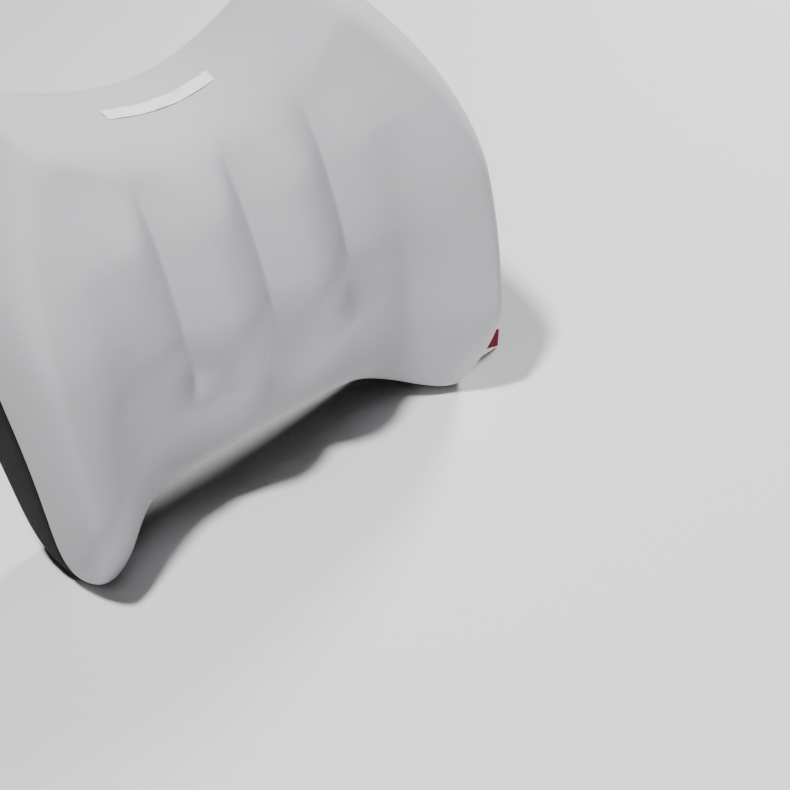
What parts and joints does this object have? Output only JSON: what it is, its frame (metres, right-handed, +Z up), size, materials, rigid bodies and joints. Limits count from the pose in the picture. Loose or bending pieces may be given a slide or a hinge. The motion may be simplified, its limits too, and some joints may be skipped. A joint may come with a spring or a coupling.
{
  "type": "lumbar support cushion",
  "caption": "Saddle-shaped foam lumbar cushion with raised side wings, three soft vertical grooves, a zipped rear cover and a chair-back strap with a side-release buckle.",
  "frame": {"origin": "on the flat back face, in the middle of its width and 112 mm above the feet, where the cushion bears on a chair back", "axes": "+X across the cushion toward the left hand of the person sitting against it, +Y out of the back toward the chair back, +Z up"},
  "size_m": [0.3924, 0.159, 0.3494],
  "materials": {
    "foam": "open-cell memory foam",
    "liner": "thin knitted liner",
    "knit": "smooth light-grey stretch knit",
    "mesh": "dark spacer mesh",
    "webbing": "black woven webbing and zip tape",
    "black_plastic": "moulded black plastic",
    "dark_metal": "dark enamelled metal",
    "stop_metal": "bare crimped metal",
    "label": "white satin label",
    "tag": "red woven tag",
    "transfer": "white heat-transfer film"
  },
  "bodies": {
    "cushion": {"foam_core": "foam", "inner_liner": "liner", "front_cover": "knit", "side_gusset": "mesh", "back_panel_upper": "mesh", "back_panel_lower": "mesh", "zip_tape_upper": "webbing", "zip_tape_lower": "webbing", "zip_coil_upper": "black_plastic", "zip_coil_lower": "black_plastic", "zip_stop_left": "stop_metal", "zip_stop_right": "stop_metal", "strap_left": "webbing", "strap_right": "webbing", "buckle_female": "black_plastic", "care_label": "label", "side_tag": "tag", "transfer_mark": "transfer"},
    "slider": {"zip_slider": "dark_metal"},
    "pull": {"zip_pull": "dark_metal"},
    "male": {"buckle_male": "black_plastic", "strap_loop": "webbing"},
    "arm_up": {"latch_arm_upper": "black_plastic"},
    "arm_down": {"latch_arm_lower": "black_plastic"}
  },
  "joints": [
    {"name": "zip_slide", "type": "slide", "parent": "cushion", "child": "slider", "axis": [-1, 0, 0], "range_m": [0, 0.227]},
    {"name": "zip_pull_swing", "type": "hinge", "parent": "slider", "child": "pull", "pos_m": [0.1137, 0.0046, 0.043], "axis": [0, 0, -1], "range_deg": [0, 170]},
    {"name": "buckle_release", "type": "slide", "parent": "cushion", "child": "male", "axis": [1, 0, 0], "range_m": [0, 0.024]},
    {"name": "latch_squeeze_upper", "type": "hinge", "parent": "male", "child": "arm_up", "pos_m": [0.009, 0.015, 0.1295], "axis": [0, -1, 0], "range_deg": [0, 6], "stiffness_Nm_per_rad": 0.1},
    {"name": "latch_squeeze_lower", "type": "hinge", "parent": "male", "child": "arm_down", "pos_m": [0.009, 0.015, 0.0965], "axis": [0, 1, 0], "range_deg": [0, 6], "stiffness_Nm_per_rad": 0.1}
  ],
  "couplings": [
    {"joint": "latch_squeeze_lower", "follows": "latch_squeeze_upper", "ratio": 1}
  ]
}
